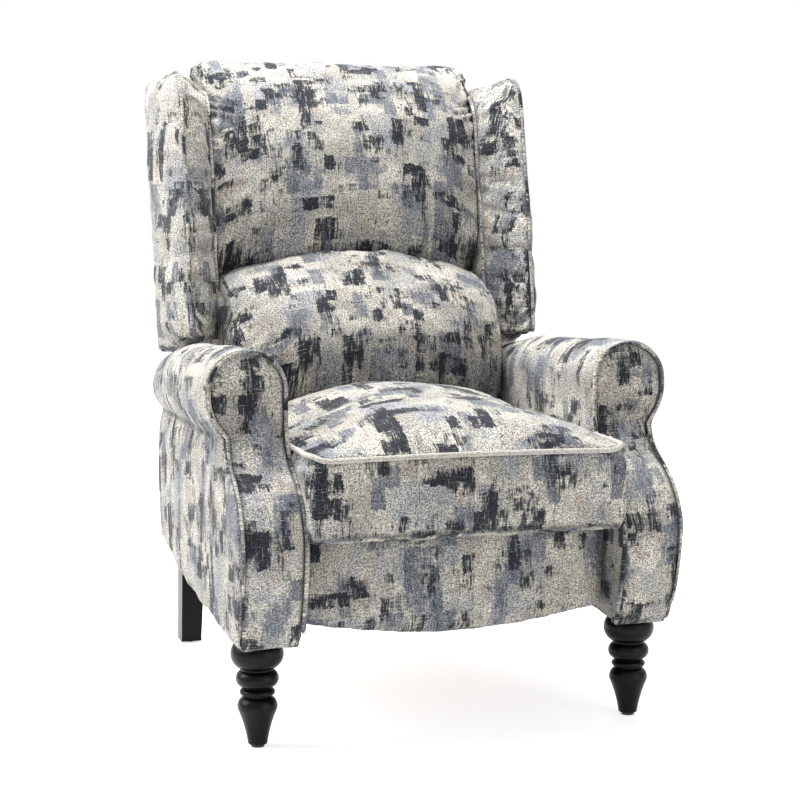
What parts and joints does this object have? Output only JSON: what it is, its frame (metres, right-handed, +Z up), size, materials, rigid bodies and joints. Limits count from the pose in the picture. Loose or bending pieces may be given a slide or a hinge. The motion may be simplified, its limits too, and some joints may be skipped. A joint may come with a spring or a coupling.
{
  "type": "wingback recliner",
  "caption": "Push-back recliner with padded wings, rolled arms, turned front legs, a sliding seat, a reclining back and a footrest that folds out from under the cushion.",
  "frame": {"origin": "on the floor, under the middle of the outline of the chair", "axes": "+Z up, the chair faces -Y, +X to the right of a viewer in front of it"},
  "size_m": [0.745, 0.848, 1.067],
  "materials": {
    "print_fabric": "heathered woven upholstery with a slate and cream patch print",
    "black_lacquer": "satin black lacquer on turned hardwood",
    "frame_wood": "planed softwood and hardwood frame boards",
    "plywood": "plywood",
    "painted_steel": "black painted steel plates, links, pins and bolts",
    "spring_steel": "bright spring wire",
    "nylon": "black nylon",
    "felt": "grey felt insulator",
    "webbing": "woven elastic webbing"
  },
  "bodies": {
    "base": {"arm_board_left": "plywood", "arm_board_right": "plywood", "arm_cover_left": "print_fabric", "arm_cover_right": "print_fabric", "arm_facing_left": "print_fabric", "arm_facing_right": "print_fabric", "base_rear_rail": "frame_wood", "base_stretcher": "frame_wood", "corner_block_left": "frame_wood", "corner_block_right": "frame_wood", "foot_glides": "nylon", "frame_bolts": "painted_steel", "front_leg_left": "black_lacquer", "front_leg_right": "black_lacquer", "hanger_bolts": "painted_steel", "rear_leg_left": "black_lacquer", "rear_leg_right": "black_lacquer", "seat_track_left": "painted_steel", "seat_track_right": "painted_steel", "side_rail_left": "frame_wood", "side_rail_right": "frame_wood"},
    "seat": {"seat_cross_rails": "frame_wood", "seat_cushion": "print_fabric", "seat_deck": "felt", "seat_glides": "nylon", "seat_pivot_pins": "painted_steel", "seat_plate_left": "painted_steel", "seat_plate_right": "painted_steel", "seat_rail_left": "frame_wood", "seat_rail_right": "frame_wood", "seat_springs": "spring_steel", "spring_clips": "painted_steel"},
    "rear_links": {"rear_link_left": "painted_steel", "rear_link_right": "painted_steel", "drive_tube": "painted_steel"},
    "front_links": {"front_link_left": "painted_steel", "front_link_right": "painted_steel", "knee_shaft": "painted_steel"},
    "control_left": {"control_link_left": "painted_steel"},
    "control_right": {"control_link_right": "painted_steel"},
    "footrest": {"footrest_board": "plywood", "footrest_bracket_left": "painted_steel", "footrest_bracket_right": "painted_steel", "footrest_pad": "print_fabric"},
    "anchor_left": {"anchor_link_left": "painted_steel"},
    "anchor_right": {"anchor_link_right": "painted_steel"},
    "back": {"back_bracket_left": "painted_steel", "back_bracket_right": "painted_steel", "back_cross_rails": "frame_wood", "back_panel": "print_fabric", "back_post_left": "frame_wood", "back_post_right": "frame_wood", "back_webbing": "webbing", "lumbar_pillow": "print_fabric", "upper_pillow": "print_fabric", "wing_frame_left": "plywood", "wing_frame_right": "plywood", "wing_pad_left": "print_fabric", "wing_pad_right": "print_fabric"}
  },
  "joints": [
    {"name": "back_recline", "type": "hinge", "parent": "seat", "child": "back", "pos_m": [0, 0.222, 0.33], "axis": [-1, 0, 0], "range_deg": [0, 35]},
    {"name": "seat_slide", "type": "slide", "parent": "base", "child": "seat", "axis": [0, -1, 0], "range_m": [0, 0.1]},
    {"name": "anchor_swing_left", "type": "hinge", "parent": "base", "child": "anchor_left", "pos_m": [0, 0.15, 0.494], "axis": [-1, 0, 0], "range_deg": [0, 28.6]},
    {"name": "anchor_swing_right", "type": "hinge", "parent": "base", "child": "anchor_right", "pos_m": [0, 0.15, 0.494], "axis": [-1, 0, 0], "range_deg": [0, 28.6]},
    {"name": "footrest_open", "type": "hinge", "parent": "seat", "child": "rear_links", "pos_m": [0, -0.278, 0.277], "axis": [-1, 0, 0], "range_deg": [0, 150]},
    {"name": "front_link_fold", "type": "hinge", "parent": "rear_links", "child": "front_links", "pos_m": [0, -0.081, 0.2423], "axis": [-1, 0, 0], "range_deg": [-140, 0]},
    {"name": "footrest_turn", "type": "hinge", "parent": "front_links", "child": "footrest", "pos_m": [0, -0.2977, 0.2612], "axis": [-1, 0, 0], "range_deg": [0, 75]},
    {"name": "control_swing_left", "type": "hinge", "parent": "seat", "child": "control_left", "pos_m": [0, -0.28, 0.301], "axis": [-1, 0, 0], "range_deg": [0, 151.3]},
    {"name": "control_swing_right", "type": "hinge", "parent": "seat", "child": "control_right", "pos_m": [0, -0.28, 0.301], "axis": [-1, 0, 0], "range_deg": [0, 151.3]}
  ],
  "couplings": [
    {"joint": "seat_slide", "follows": "back_recline", "m_per_rad": 0.1637},
    {"joint": "anchor_swing_left", "follows": "back_recline", "ratio": 0.8143},
    {"joint": "anchor_swing_right", "follows": "back_recline", "ratio": 0.8143},
    {"joint": "front_link_fold", "follows": "footrest_open", "ratio": -0.93333},
    {"joint": "footrest_turn", "follows": "footrest_open", "ratio": 0.5},
    {"joint": "control_swing_left", "follows": "footrest_open", "ratio": 1.0084},
    {"joint": "control_swing_right", "follows": "footrest_open", "ratio": 1.0084}
  ]
}
